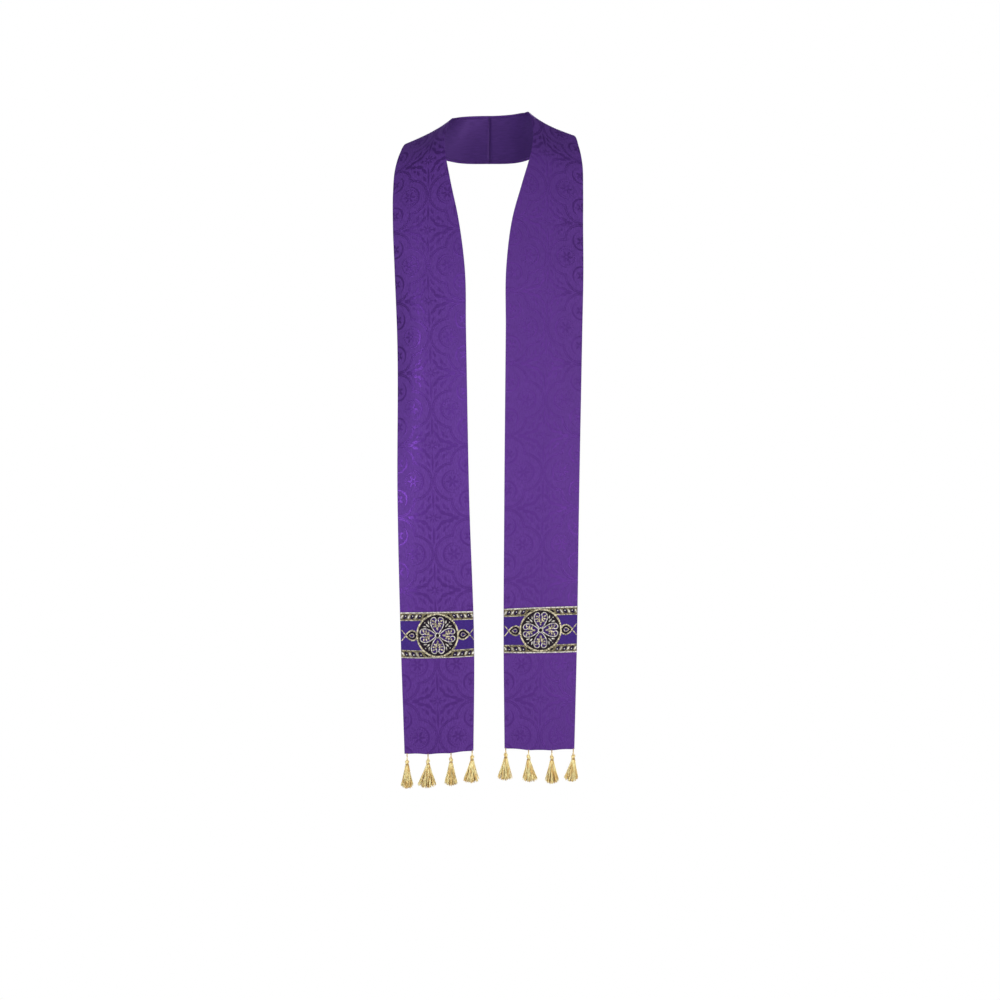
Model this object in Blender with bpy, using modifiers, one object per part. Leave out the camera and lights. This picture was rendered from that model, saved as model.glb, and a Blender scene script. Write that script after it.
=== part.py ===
"""Clerical stole, in the form it has when it is worn.

Two shaped panels meet at a seam behind the neck, run over the shoulders and hang down the front.
A woven galloon crosses each panel above its hem, and four tassels hang from each hem.

Metres, +Z up, the front faces -Y. The origin is the middle of the nape seam, on the face that
lies against the neck. Left is at -X and right is at +X, as seen from the front.
"""

import math
from collections import namedtuple

import bmesh
import bpy
from mathutils import Vector

MM = 0.001

# Cloth: damask, interlining and lining sewn as one wall, the braid on top of it, and the gap at a seam
PANEL_WALL = 2.0 * MM
GALLOON_WALL = 0.9 * MM
SEAM_GAP = 0.3 * MM

# The hem is drawn down a little between its corners by the weight of the tassels
HEM_BOW = 3.3

# Faces of a panel: how many across, the longest one along, and the fewest between two sections
FACES_ACROSS = 12
LONGEST_FACE = 64 * MM
FEWEST_FACES_ALONG = 3

# Galloon: the braid's height, its rows of faces, and how far its turned ends stop inside the edges
GALLOON_HEIGHT = 88 * MM
GALLOON_ROWS = 4
GALLOON_END_INSET = 0.6 * MM
GALLOON_TOP_DROP = {"left": 944 * MM, "right": 937 * MM}

# Tassel: a cord from the hem, a wound knob, a bound waist under it, and a skirt of strands
CORD_RADIUS = 0.9 * MM
CORD_FOOT_RADIUS = 1.9 * MM
KNOB_RADIUS = 4.1 * MM
KNOB_HEIGHT = 9.0 * MM
WAIST_RADIUS = 3.0 * MM
WAIST_HEIGHT = 1.8 * MM
SKIRT_TOP_RADIUS = 3.7 * MM
TASSEL_SIDES = 12
STRAND_RINGS = (1.35 * MM, 1.25 * MM)
STRAND_ROOT_GAP = 0.14 * MM
STRAND_LEVELS = (0.25, 0.65, 1.0)
STRAND_FILL = 0.80
SKIRT_FLATNESS = 0.70
RAGGED = 0.05

# A section across a panel, in millimetres: the inner and outer edges of the cloth as (x, y, z), how far
# the cloth bulges from the wearer between them, and how far across (0 inner, 1 outer) it bulges most.
# x is the distance from the middle of the wearer.
Section = namedtuple("Section", "place inner outer bulge peak")

LEFT_SECTIONS = (
    Section("nape seam", (0.0, -15.1, 46.7), (0.0, 18.9, -45.3), 0.0, 0.50),
    Section("back of neck", (40, -20, 45), (66, 13, -44), -1.0, 0.50),
    Section("side of neck", (67, -45, 38), (128, -27, -32), -2.5, 0.45),
    Section("shoulder", (77, -78, 28), (163, -85, -20), -3.0, 0.45),
    Section("front of collar", (86.5, -117, -4), (177, -117, -46), -1.5, 0.50),
    Section("collar bone", (87, -146, -38), (185, -135, -78), 2.0, 0.60),
    Section("upper chest", (76, -171, -103), (188.5, -149, -124), 5.0, 0.62),
    Section("chest", (60, -189, -180), (188.5, -158, -188), 8.0, 0.66),
    Section("below chest", (47, -205, -280), (185, -160, -281), 12.0, 0.70),
    Section("ribs", (44.5, -213, -400), (180, -164, -400), 12.0, 0.70),
    Section("waist", (38, -215, -729), (177.6, -193, -729), 6.0, 0.66),
    Section("thigh", (28.3, -214, -1030), (169.8, -205, -1034), 2.5, 0.60),
    Section("hem", (29.8, -212, -1212.5), (163.3, -209, -1218.7), 2.0, 0.50),
)

RIGHT_SECTIONS = (
    Section("nape seam", (0.0, -15.1, 46.7), (0.0, 18.9, -45.3), 0.0, 0.50),
    Section("back of neck", (40, -20, 48), (66, 13, -42), -1.0, 0.50),
    Section("side of neck", (69, -45, 48), (128, -27, -20), -2.5, 0.45),
    Section("shoulder", (80, -78, 41), (166, -85, -4), -4.0, 0.45),
    Section("front of collar", (87, -116, -2), (177, -113, -31), -1.5, 0.50),
    Section("collar bone", (83, -145, -41), (183, -134, -66), 1.5, 0.60),
    Section("upper chest", (64, -174, -112), (184.3, -150, -125), 3.5, 0.60),
    Section("chest", (46, -191, -178), (183.8, -160, -188), 5.5, 0.62),
    Section("below chest", (33.5, -206, -275), (184, -171, -281), 6.5, 0.64),
    Section("ribs", (32.3, -213, -400), (181.5, -179, -400), 6.0, 0.64),
    Section("waist", (29.3, -215, -729), (174.5, -200, -727), 4.0, 0.60),
    Section("thigh", (28.0, -214, -1026), (169.6, -207, -1024), 2.0, 0.55),
    Section("hem", (29.7, -212, -1208), (164.9, -209, -1209.6), 2.0, 0.50),
)

# A tassel: its place across the hem (0 inner, 1 outer), and in millimetres the length of its cord, the
# width of its skirt, its whole length below the hem, and how far its foot swings to the right.
Tassel = namedtuple("Tassel", "across cord width length swing")

LEFT_TASSELS = (
    Tassel(0.020, 9.4, 32.0, 62.7, -2.0),
    Tassel(0.325, 9.2, 26.5, 64.1, 0.0),
    Tassel(0.658, 10.6, 37.5, 65.6, -2.0),
    Tassel(0.962, 12.8, 25.0, 67.9, 0.0),
)

RIGHT_TASSELS = (
    Tassel(0.018, 9.4, 30.0, 62.3, -1.5),
    Tassel(0.344, 10.2, 30.0, 62.0, 2.5),
    Tassel(0.677, 10.7, 28.0, 65.2, 0.0),
    Tassel(0.984, 11.1, 28.5, 63.5, -4.3),
)


class Panel:
    """The outer face of one half of the stole.

    A point has a station, which counts sections from the nape and may lie between two of them,
    and a place across, from 0 at the inner edge to 1 at the outer edge.
    """

    def __init__(self, sign, sections):
        self.sign = sign
        self.last = len(sections) - 1
        rows = [[*s.inner, *s.outer, s.bulge, s.peak] for s in sections]
        past_nape = [-v if k in (0, 3) else v for k, v in enumerate(rows[1])]
        past_hem = [2 * a - b for a, b in zip(rows[-1], rows[-2])]
        self.rows = [past_nape, *rows, past_hem]

    def run(self, index):
        """Length along the middle of the panel from one row of the table to the next."""
        a, b = self.rows[index], self.rows[index + 1]
        return math.sqrt(sum(((b[k] + b[k + 3]) - (a[k] + a[k + 3])) ** 2 for k in range(3))) / 2

    def section(self, station):
        """Edges, bulge and peak at a station, on a smooth curve through the rows of the table."""
        index = min(int(station), self.last - 1) + 1
        t = station - (index - 1)
        before, here, after = self.run(index - 1), self.run(index), self.run(index + 1)
        values = []
        for p0, p1, p2, p3 in zip(*self.rows[index - 1:index + 3]):
            slope = (p2 - p1) / here
            start = ((p1 - p0) / before * here + slope * before) / (before + here) * here
            end = (slope * after + (p3 - p2) / after * here) / (here + after) * here
            blend_start = start * (t - 2 * t ** 2 + t ** 3)
            blend_end = end * (t ** 3 - t ** 2)
            values.append(p1 + (p2 - p1) * (3 * t ** 2 - 2 * t ** 3) + blend_start + blend_end)
        inner = Vector((self.sign * values[0], values[1], values[2]))
        outer = Vector((self.sign * values[3], values[4], values[5]))
        return inner, outer, values[6], values[7]

    def point(self, station, across):
        inner, outer, bulge, peak = self.section(station)
        low, high = max(station - 0.02, 0.0), min(station + 0.02, float(self.last))
        ahead, behind = self.section(high), self.section(low)
        along = ahead[0] + ahead[1] - behind[0] - behind[1]
        outward = (outer - inner).cross(along).normalized() * -self.sign
        skew = math.log(0.5) / math.log(peak)
        spot = inner.lerp(outer, across) + outward * bulge * math.sin(math.pi * across ** skew)
        near_hem = max(0.0, station - self.last + 1) ** 6
        spot.z -= HEM_BOW * near_hem * math.sin(math.pi * across)
        spot.x += self.sign * SEAM_GAP / 2 / MM
        return spot * MM

    def normal(self, station, across):
        low, high = max(station - 0.01, 0.0), min(station + 0.01, float(self.last))
        near, far = max(across - 0.01, 0.0), min(across + 0.01, 1.0)
        along = self.point(high, across) - self.point(low, across)
        over = self.point(station, far) - self.point(station, near)
        return over.cross(along).normalized() * -self.sign

    def lifted(self, station, across, height):
        return self.point(station, across) + self.normal(station, across) * height

    def stations(self):
        """Stations of the rows of faces, closer together where the sections are."""
        found = []
        for index in range(self.last):
            steps = max(FEWEST_FACES_ALONG, math.ceil(self.run(index + 1) * MM / LONGEST_FACE))
            found += [index + k / steps for k in range(steps)]
        return [*found, float(self.last)]

    def station_at(self, drop):
        """The station where the inner edge lies this far below the origin, found by halving."""
        low, high = self.last / 2, float(self.last)
        for _ in range(40):
            middle = (low + high) / 2
            if -self.point(middle, 0.0).z < drop:
                low = middle
            else:
                high = middle
        return low


def clear_scene():
    for item in list(bpy.data.objects):
        bpy.data.objects.remove(item, do_unlink=True)


def make_material(name, colour, roughness, metallic):
    material = bpy.data.materials.new(name)
    material.use_nodes = True
    shader = material.node_tree.nodes["Principled BSDF"]
    shader.inputs["Base Color"].default_value = (*colour, 1.0)
    shader.inputs["Roughness"].default_value = roughness
    shader.inputs["Metallic"].default_value = metallic
    material.diffuse_color = (*colour, 1.0)
    return material


def add_piece(name, work, material, collection):
    """Turn finished mesh work into a named, smooth-shaded object."""
    mesh = bpy.data.meshes.new(name)
    work.to_mesh(mesh)
    work.free()
    mesh.materials.append(material)
    mesh.shade_smooth()
    mesh.set_sharp_from_angle(angle=math.radians(40))
    piece = bpy.data.objects.new(name, mesh)
    collection.objects.link(piece)
    return piece


def add_cloth(name, sign, place, stations, acrosses, thickness, material, collection):
    """A grid laid on place(station, across), with its wall behind it, towards the wearer."""
    work = bmesh.new()
    columns, rows = len(acrosses) - 1, len(stations) - 1
    bmesh.ops.create_grid(work, x_segments=columns, y_segments=rows, size=0.5)
    for vert in work.verts:
        column = round((vert.co.x + 0.5) * columns)
        row = round((vert.co.y + 0.5) * rows)
        vert.co = place(stations[row], acrosses[column])
    if sign > 0:
        bmesh.ops.reverse_faces(work, faces=work.faces)
    piece = add_piece(name, work, material, collection)
    wall = piece.modifiers.new("wall", "SOLIDIFY")
    wall.thickness = thickness
    wall.offset = -1.0
    wall.use_even_offset = True


def add_panel(side, panel, material, collection):
    acrosses = [k / FACES_ACROSS for k in range(FACES_ACROSS + 1)]
    add_cloth(
        f"{side}_panel", panel.sign, panel.point, panel.stations(), acrosses,
        PANEL_WALL, material, collection,
    )


def add_galloon(side, panel, material, collection):
    drop = GALLOON_TOP_DROP[side]
    top, bottom = panel.station_at(drop), panel.station_at(drop + GALLOON_HEIGHT)
    stations = [top + (bottom - top) * k / GALLOON_ROWS for k in range(GALLOON_ROWS + 1)]
    width = (panel.point(top, 1.0) - panel.point(top, 0.0)).length
    inset = GALLOON_END_INSET / width
    acrosses = [inset + (1 - 2 * inset) * k / FACES_ACROSS for k in range(FACES_ACROSS + 1)]
    height = SEAM_GAP + GALLOON_WALL
    add_cloth(
        f"{side}_galloon", panel.sign, lambda s, a: panel.lifted(s, a, height), stations, acrosses,
        GALLOON_WALL, material, collection,
    )


def head_profile(cord):
    """Radius and depth down the cord, the knob, the waist and the top of the skirt."""
    knob_middle = cord + KNOB_HEIGHT / 2
    knob_bottom = cord + KNOB_HEIGHT
    profile = [(CORD_RADIUS, 0.0), (CORD_RADIUS, 0.75 * cord), (CORD_FOOT_RADIUS, cord)]
    for degrees in (52, 90, 128):
        angle = math.radians(degrees)
        profile.append((KNOB_RADIUS * math.sin(angle), knob_middle - KNOB_HEIGHT / 2 * math.cos(angle)))
    profile.append((WAIST_RADIUS, knob_bottom + WAIST_HEIGHT / 2))
    profile.append((SKIRT_TOP_RADIUS, knob_bottom + WAIST_HEIGHT))
    return profile


def skirt_growth(width, part):
    """How much wider than its top the skirt is, at a part of its length."""
    top = SKIRT_TOP_RADIUS
    return 1 + (width / 2 - top) / top * part ** 2 * (3 - 2 * part)


def spin_head(work, cord):
    """Turn the head's profile and close both its ends; returns the face that the strands grow from."""
    outline = [work.verts.new((radius, 0.0, -depth)) for radius, depth in head_profile(cord)]
    edges = [work.edges.new(pair) for pair in zip(outline, outline[1:])]
    bmesh.ops.spin(
        work, geom=outline + edges, cent=(0, 0, 0), axis=(0, 0, 1), angle=math.tau,
        steps=TASSEL_SIDES, use_merge=True,
    )
    rims = [edge for edge in work.edges if edge.is_boundary]
    top = max(vert.co.z for vert in work.verts)
    caps = []
    for is_top in (True, False):
        rim = [edge for edge in rims if (edge.verts[0].co.z > top / 2 - cord / 2) == is_top]
        caps += bmesh.ops.contextual_create(work, geom=rim)["faces"]
    bmesh.ops.recalc_face_normals(work, faces=work.faces)
    return caps[-1]


def grow_strands(work, floor, tassel):
    """Part the floor of the head into two rings of cells and draw a strand down from each."""
    cells = []
    for thickness in STRAND_RINGS:
        cells += bmesh.ops.inset_region(work, faces=[floor], thickness=thickness)["faces"]
    bmesh.ops.inset_individual(work, faces=cells, thickness=STRAND_ROOT_GAP, use_even_offset=True)
    skirt = tassel.length * MM + floor.calc_center_median().z
    for cell in cells:
        tip, middle = cell, cell.calc_center_median()
        corners = [vert.co - middle for vert in cell.verts]
        ragged = 0.5 + 0.5 * math.sin(5 * math.atan2(middle.y, middle.x) + 900 * middle.length)
        for level in STRAND_LEVELS:
            tip = bmesh.ops.extrude_discrete_faces(work, faces=[tip])["faces"][0]
            growth = skirt_growth(tassel.width * MM, level)
            for vert, corner in zip(tip.verts, corners):
                spot = middle * growth + corner * growth * STRAND_FILL
                spot.x += tassel.swing * MM * level
                spot.y *= 1 - (1 - SKIRT_FLATNESS) * level
                spot.z = middle.z - skirt * level * (1 - RAGGED * ragged)
                vert.co = spot


def add_tassel(name, panel, tassel, material, collection):
    work = bmesh.new()
    floor = spin_head(work, tassel.cord * MM)
    grow_strands(work, floor, tassel)
    bmesh.ops.recalc_face_normals(work, faces=work.faces)
    piece = add_piece(name, work, material, collection)
    piece.location = panel.lifted(float(panel.last), tassel.across, -PANEL_WALL / 2)
    piece.location.z -= SEAM_GAP


def build():
    clear_scene()
    collection = bpy.data.collections.new("clerical_stole")
    bpy.context.scene.collection.children.link(collection)
    damask = make_material("purple_damask", (0.100, 0.037, 0.235), 0.55, 0.0)
    braid = make_material("galloon_braid", (0.22, 0.17, 0.16), 0.45, 0.2)
    rayon = make_material("gold_rayon", (0.66, 0.49, 0.20), 0.40, 0.0)
    halves = (("left", -1.0, LEFT_SECTIONS, LEFT_TASSELS), ("right", 1.0, RIGHT_SECTIONS, RIGHT_TASSELS))
    for side, sign, sections, tassels in halves:
        panel = Panel(sign, sections)
        add_panel(side, panel, damask, collection)
        add_galloon(side, panel, braid, collection)
        for number, tassel in enumerate(tassels, start=1):
            add_tassel(f"{side}_tassel_{number}", panel, tassel, rayon, collection)


build()
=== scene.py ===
"""A purple clerical stole in damask, with woven galloons and gold tassels, hanging as it is worn."""
import math
import random
from collections import namedtuple
from itertools import product

import bmesh
import bpy
from mathutils import Matrix, Vector


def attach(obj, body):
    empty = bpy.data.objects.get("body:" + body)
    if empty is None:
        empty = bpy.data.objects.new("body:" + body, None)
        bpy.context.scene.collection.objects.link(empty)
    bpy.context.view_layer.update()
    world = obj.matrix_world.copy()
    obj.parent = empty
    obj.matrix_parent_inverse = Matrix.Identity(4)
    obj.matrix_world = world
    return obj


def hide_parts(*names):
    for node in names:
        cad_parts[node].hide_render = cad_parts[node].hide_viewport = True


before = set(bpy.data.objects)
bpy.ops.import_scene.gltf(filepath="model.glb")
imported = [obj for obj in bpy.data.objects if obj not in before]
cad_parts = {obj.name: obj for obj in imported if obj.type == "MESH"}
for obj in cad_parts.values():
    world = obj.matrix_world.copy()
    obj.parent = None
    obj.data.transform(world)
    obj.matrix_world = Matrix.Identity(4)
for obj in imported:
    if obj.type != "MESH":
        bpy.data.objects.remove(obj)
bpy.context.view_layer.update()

# ------------------------------------------------------------
# The two bands. The stole is cut in two halves that meet in a seam at the nape. Each half is
# one length of purple damask, its edges turned in, that lies round the neck and hangs in front.
# ------------------------------------------------------------

MM = 0.001
SEAM_GAP = 0.3  # mm left between pieces that are sewn together
HEM_BOW = 3.3  # mm that the middle of the hem hangs below its corners

# Cuts across a half, from the nape to the hem, in millimetres: where the inner and the outer
# edge lie, x counted from the middle of the wearer, how far the cloth bulges outwards between
# them, and at what part of the width, from the inner edge, the bulge is highest.
Section = namedtuple("Section", "place inner outer bulge peak")

LEFT_SECTIONS = (
    Section("nape seam", (0.0, -15.1, 46.7), (0.0, 18.9, -45.3), 0.0, 0.50),
    Section("back of neck", (40, -20, 45), (66, 13, -44), -1.0, 0.50),
    Section("side of neck", (67, -45, 38), (128, -27, -32), -2.5, 0.45),
    Section("shoulder", (77, -78, 28), (163, -85, -20), -3.0, 0.45),
    Section("front of collar", (86.5, -117, -4), (177, -117, -46), -1.5, 0.50),
    Section("collar bone", (87, -146, -38), (185, -135, -78), 2.0, 0.60),
    Section("upper chest", (76, -171, -103), (188.5, -149, -124), 5.0, 0.62),
    Section("chest", (60, -189, -180), (188.5, -158, -188), 8.0, 0.66),
    Section("below chest", (47, -205, -280), (185, -160, -281), 12.0, 0.70),
    Section("ribs", (44.5, -213, -400), (180, -164, -400), 12.0, 0.70),
    Section("waist", (38, -215, -729), (177.6, -193, -729), 6.0, 0.66),
    Section("thigh", (28.3, -214, -1030), (169.8, -205, -1034), 2.5, 0.60),
    Section("hem", (29.8, -212, -1212.5), (163.3, -209, -1218.7), 2.0, 0.50),
)
RIGHT_SECTIONS = (
    Section("nape seam", (0.0, -15.1, 46.7), (0.0, 18.9, -45.3), 0.0, 0.50),
    Section("back of neck", (40, -20, 48), (66, 13, -42), -1.0, 0.50),
    Section("side of neck", (69, -45, 48), (128, -27, -20), -2.5, 0.45),
    Section("shoulder", (80, -78, 41), (166, -85, -4), -4.0, 0.45),
    Section("front of collar", (87, -116, -2), (177, -113, -31), -1.5, 0.50),
    Section("collar bone", (83, -145, -41), (183, -134, -66), 1.5, 0.60),
    Section("upper chest", (64, -174, -112), (184.3, -150, -125), 3.5, 0.60),
    Section("chest", (46, -191, -178), (183.8, -160, -188), 5.5, 0.62),
    Section("below chest", (33.5, -206, -275), (184, -171, -281), 6.5, 0.64),
    Section("ribs", (32.3, -213, -400), (181.5, -179, -400), 6.0, 0.64),
    Section("waist", (29.3, -215, -729), (174.5, -200, -727), 4.0, 0.60),
    Section("thigh", (28.0, -214, -1026), (169.6, -207, -1024), 2.0, 0.55),
    Section("hem", (29.7, -212, -1208), (164.9, -209, -1209.6), 2.0, 0.50),
)

DAMASK_WALL = 1.4  # mm, the damask over its interlining
DAMASK_COLUMNS = 48
DAMASK_ROW_PITCH = 4.0  # mm
EDGE_ROUNDING = 0.55  # mm, where the cloth is turned in
BULGE_STEP, NORMAL_STEP = 0.02, 0.01  # of a section or of the width, over which slopes are measured

# The figure of the damask: millimetres from the outer edge to the middle of its repeat, at the
# shoulder and at the hem, and the heights of one row of rounds above and one below the galloon.
Figure = namedtuple("Figure", "top_axis hem_axis row_above row_below")
FIGURES = {
    "left": Figure(74.0, 67.0, -553.7, -1187.0),
    "right": Figure(74.0, 67.0, -535.0, -1184.5),
}
REPEAT = 140.0  # mm from one row of rounds to the next

# Soft creases that run down a band: from which section to which, at what part of the width,
# how deep (mm, below zero is a hollow) and how wide (part of the width).
Crease = namedtuple("Crease", "side start end across depth width")
CREASES = (
    Crease("left", 7.9, 9.7, 0.57, 5.6, 0.20),
    Crease("left", 8.9, 10.3, 0.67, 3.4, 0.17),
    Crease("left", 9.5, 11.3, 0.78, 2.2, 0.16),
    Crease("left", 9.2, 11.4, 0.30, -0.7, 0.14),
    Crease("left", 5.6, 7.4, 0.30, -0.8, 0.12),
    Crease("right", 5.5, 7.6, 0.35, -0.8, 0.13),
    Crease("right", 8.0, 10.6, 0.84, -0.7, 0.08),
    Crease("right", 9.0, 11.2, 0.40, -0.6, 0.15),
    Crease("right", 3.2, 5.0, 0.70, 0.7, 0.14),
    Crease("left", 3.2, 5.0, 0.70, 0.7, 0.14),
)


class Band:
    """Outer face of one half; a station counts sections from the nape, across runs from 0 to 1."""

    def __init__(self, side, sign, sections):
        self.side = side
        self.sign = sign
        self.last = len(sections) - 1
        self.ribs = [section.place for section in sections].index("ribs")
        rows = [[*s.inner, *s.outer, s.bulge, s.peak] for s in sections]
        past_nape = [-v if k in (0, 3) else v for k, v in enumerate(rows[1])]
        past_hem = [2 * a - b for a, b in zip(rows[-1], rows[-2])]
        self.rows = [past_nape, *rows, past_hem]

    def run(self, index):
        """Millimetres from one row of the table to the next, down the middle of the cloth."""
        a, b = self.rows[index], self.rows[index + 1]
        return math.sqrt(sum(((b[k] + b[k + 3]) - (a[k] + a[k + 3])) ** 2 for k in range(3))) / 2

    def section(self, station):
        """A cut at any station, on a smooth curve through the cuts of the table."""
        index = min(int(station), self.last - 1) + 1
        t = station - (index - 1)
        before, here, after = self.run(index - 1), self.run(index), self.run(index + 1)
        values = []
        for a, b, c, d in zip(*self.rows[index - 1:index + 3]):
            slope = (c - b) / here
            start = ((b - a) / before * here + slope * before) / (before + here) * here
            end = (slope * after + (d - c) / after * here) / (here + after) * here
            blend_start = start * (t - 2 * t ** 2 + t ** 3)
            blend_end = end * (t ** 3 - t ** 2)
            values.append(b + (c - b) * (3 * t ** 2 - 2 * t ** 3) + blend_start + blend_end)
        inner = Vector((self.sign * values[0], values[1], values[2]))
        outer = Vector((self.sign * values[3], values[4], values[5]))
        return inner, outer, values[6], values[7]

    def around(self, station, step):
        """The stations a step before and after one, both on the band."""
        return max(station - step, 0.0), min(station + step, float(self.last))

    def point(self, station, across):
        inner, outer, bulge, peak = self.section(station)
        behind, ahead = (self.section(near) for near in self.around(station, BULGE_STEP))
        along = ahead[0] + ahead[1] - behind[0] - behind[1]
        outward = (outer - inner).cross(along).normalized() * -self.sign
        skew = math.log(0.5) / math.log(peak)
        spot = inner.lerp(outer, across) + outward * bulge * math.sin(math.pi * across ** skew)
        near_hem = max(0.0, station - self.last + 1) ** 6
        spot.z -= HEM_BOW * near_hem * math.sin(math.pi * across)
        spot.x += self.sign * SEAM_GAP / 2
        return spot * MM

    def normal(self, station, across):
        behind, ahead = self.around(station, NORMAL_STEP)
        near, far = max(across - NORMAL_STEP, 0.0), min(across + NORMAL_STEP, 1.0)
        along = self.point(ahead, across) - self.point(behind, across)
        over = self.point(station, far) - self.point(station, near)
        return over.cross(along).normalized() * -self.sign

    def crease(self, station, across):
        """How far the cloth stands out of its smooth face, in metres."""
        height = 0.0
        for item in CREASES:
            if item.side == self.side and item.start < station < item.end:
                along = math.sin(math.pi * (station - item.start) / (item.end - item.start)) ** 2
                height += item.depth * along * math.exp(-((across - item.across) / item.width) ** 2)
        return height * MM

    def lifted(self, station, across, height):
        """A point that many metres out of the creased face."""
        height += self.crease(station, across)
        return self.point(station, across) + self.normal(station, across) * height

    def station_at(self, drop):
        """The station where the inner edge lies this many millimetres below the origin."""
        low, high = self.last / 2, float(self.last)
        for _ in range(40):
            middle = (low + high) / 2
            if -self.point(middle, 0.0).z < drop * MM:
                low = middle
            else:
                high = middle
        return low

    def stations(self, pitch):
        """Stations of rows about as far apart as pitch, in millimetres."""
        found = []
        for index in range(self.last):
            steps = math.ceil(self.run(index + 1) / pitch)
            found += [index + k / steps for k in range(steps)]
        return [*found, float(self.last)]

    def cut(self, stations):
        """Length down the middle of the cloth at each station, in metres, and its width there."""
        length, lengths, widths = 0.0, [], []
        before = self.point(stations[0], 0.5)
        for station in stations:
            here = self.point(station, 0.5)
            length += (here - before).length
            before = here
            lengths.append(length)
            steps = [self.point(station, k / 6) for k in range(7)]
            widths.append(sum((b - a).length for a, b in zip(steps, steps[1:])))
        return lengths, widths


BANDS = (Band("left", -1.0, LEFT_SECTIONS), Band("right", 1.0, RIGHT_SECTIONS))


def feed(value, socket):
    """Link a Value to a socket, or give the socket a constant; a colour is red, green and blue."""
    if isinstance(value, Value):
        value.tree.links.new(value.socket, socket)
    else:
        socket.default_value = (*value, 1.0) if isinstance(value, tuple) else value


class Value:
    """A number or colour that a material works out at each point; sums with it become nodes."""

    def __init__(self, tree, socket):
        self.tree = tree
        self.socket = socket

    def apply(self, operation, *others):
        node = self.tree.nodes.new("ShaderNodeMath")
        node.operation = operation
        for value, socket in zip((self, *others), node.inputs):
            feed(value, socket)
        return Value(self.tree, node.outputs[0])

    def __add__(self, other):
        return self.apply("ADD", other)

    def __sub__(self, other):
        return self.apply("SUBTRACT", other)

    def __mul__(self, other):
        return self.apply("MULTIPLY", other)

    def fade(self, low, high):
        """0 at low and 1 at high, smoothly; low may be the larger of the two."""
        node = self.tree.nodes.new("ShaderNodeMapRange")
        node.interpolation_type = "SMOOTHSTEP"
        ends = (low, high, 0.0, 1.0) if low < high else (high, low, 1.0, 0.0)
        for value, socket in zip((self, *ends), node.inputs):
            feed(value, socket)
        return Value(self.tree, node.outputs[0])

    def near(self, middle, edge, core):
        """1 within core of the middle, fading to 0 at edge."""
        return (self - middle).apply("ABSOLUTE").fade(edge, core)

    def squared(self):
        return self.apply("POWER", 2.0)

    def waves(self, length):
        return (self * (math.tau / length)).apply("SINE")


class Finish:
    """A material, and the nodes that drive it; its patterns are laid in metres in the piece."""

    def __init__(self, name, colour, roughness, metallic=0.0, specular=0.5):
        self.material = bpy.data.materials.new(name)
        self.material.use_nodes = True
        self.material.diffuse_color = (*colour, 1.0)
        self.tree = self.material.node_tree
        self.shader = self.tree.nodes["Principled BSDF"]
        self.cloth = None
        self.set("Base Color", colour)
        self.set("Roughness", roughness)
        self.set("Metallic", metallic)
        self.set("Specular IOR Level", specular)

    def set(self, name, value):
        feed(value, self.shader.inputs[name])

    def on_cloth(self):
        """Lay the patterns on the cut cloth, by its UV map; its millimetres across and along."""
        node = self.tree.nodes.new("ShaderNodeUVMap")
        node.uv_map = "cut"
        self.cloth = node.outputs["UV"]
        parts = self.tree.nodes.new("ShaderNodeSeparateXYZ")
        self.tree.links.new(self.cloth, parts.inputs["Vector"])
        return [Value(self.tree, parts.outputs[k]) * 1000.0 for k in (0, 1)]

    def noise(self, scale, stretch=(1.0, 1.0, 1.0), detail=2.0):
        """Noise of as many waves to a metre as scale says."""
        vector = self.cloth or self.tree.nodes.new("ShaderNodeTexCoord").outputs["Object"]
        mapping = self.tree.nodes.new("ShaderNodeMapping")
        mapping.inputs["Scale"].default_value = stretch
        texture = self.tree.nodes.new("ShaderNodeTexNoise")
        texture.inputs["Scale"].default_value = scale
        texture.inputs["Detail"].default_value = detail
        self.tree.links.new(vector, mapping.inputs["Vector"])
        self.tree.links.new(mapping.outputs["Vector"], texture.inputs["Vector"])
        return Value(self.tree, texture.outputs["Fac"])

    def mix(self, factor, first, second):
        """A colour between two."""
        node = self.tree.nodes.new("ShaderNodeMix")
        node.data_type = "RGBA"
        for value, socket in zip((factor, first, second), (node.inputs[0], *node.inputs[6:8])):
            feed(value, socket)
        return Value(self.tree, node.outputs[2])

    def bump(self, height, distance):
        """Raise the surface by height times distance, in metres."""
        node = self.tree.nodes.new("ShaderNodeBump")
        node.inputs["Distance"].default_value = distance
        feed(height, node.inputs["Height"])
        self.tree.links.new(node.outputs["Normal"], self.shader.inputs["Normal"])


# The figure's rounds: millimetres out from its axis and up, and the radius. The rounds cut away
# leave a crescent of each; two lines with rungs between them run round both.
Round = namedtuple("Round", "out up radius")
BIG_ROUND, SMALL_ROUND = Round(38.0, 0.0, 21.5), Round(69.0, 35.0, 19.0)
BIG_CUT, SMALL_CUT = Round(41.3, 0.0, 21.5), Round(72.0, 37.0, 19.0)
LINES_OUTSIDE = (12.2, 15.6)  # mm
BEAD_RING, BEADS = 16.2, 22.0  # mm from the middle of the big round, and how many
Rosette = namedtuple("Rosette", "out up radius petals heart")
ROSETTES = (
    Rosette(38.0, 0.0, 12.5, 6, 2.0), Rosette(69.0, 35.0, 10.5, 5, 1.6), Rosette(0.0, 70.0, 10.0, 8, 2.4),
)
PETAL_REACH, PETAL_WAVE = 0.66, 0.34  # of the radius: how far the petals reach, more or less
# The star's leaves: the middle out and up, slant in degrees, and half the length and the width.
STAR_LEAVES = (
    (0.0, 36.0, 90, 20.0, 2.3), (9.0, 50.0, 52, 9.5, 3.0), (18.5, 60.5, 24, 9.0, 3.8),
    (21.0, 48.0, 66, 7.0, 2.7), (31.5, 64.0, 8, 8.0, 3.4), (42.0, 68.5, 0, 9.0, 2.4),
    (8.0, 33.5, 66, 7.5, 2.4), (28.0, 53.5, 45, 4.5, 2.0), (13.0, 69.5, 0, 3.0, 2.6),
)


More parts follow.
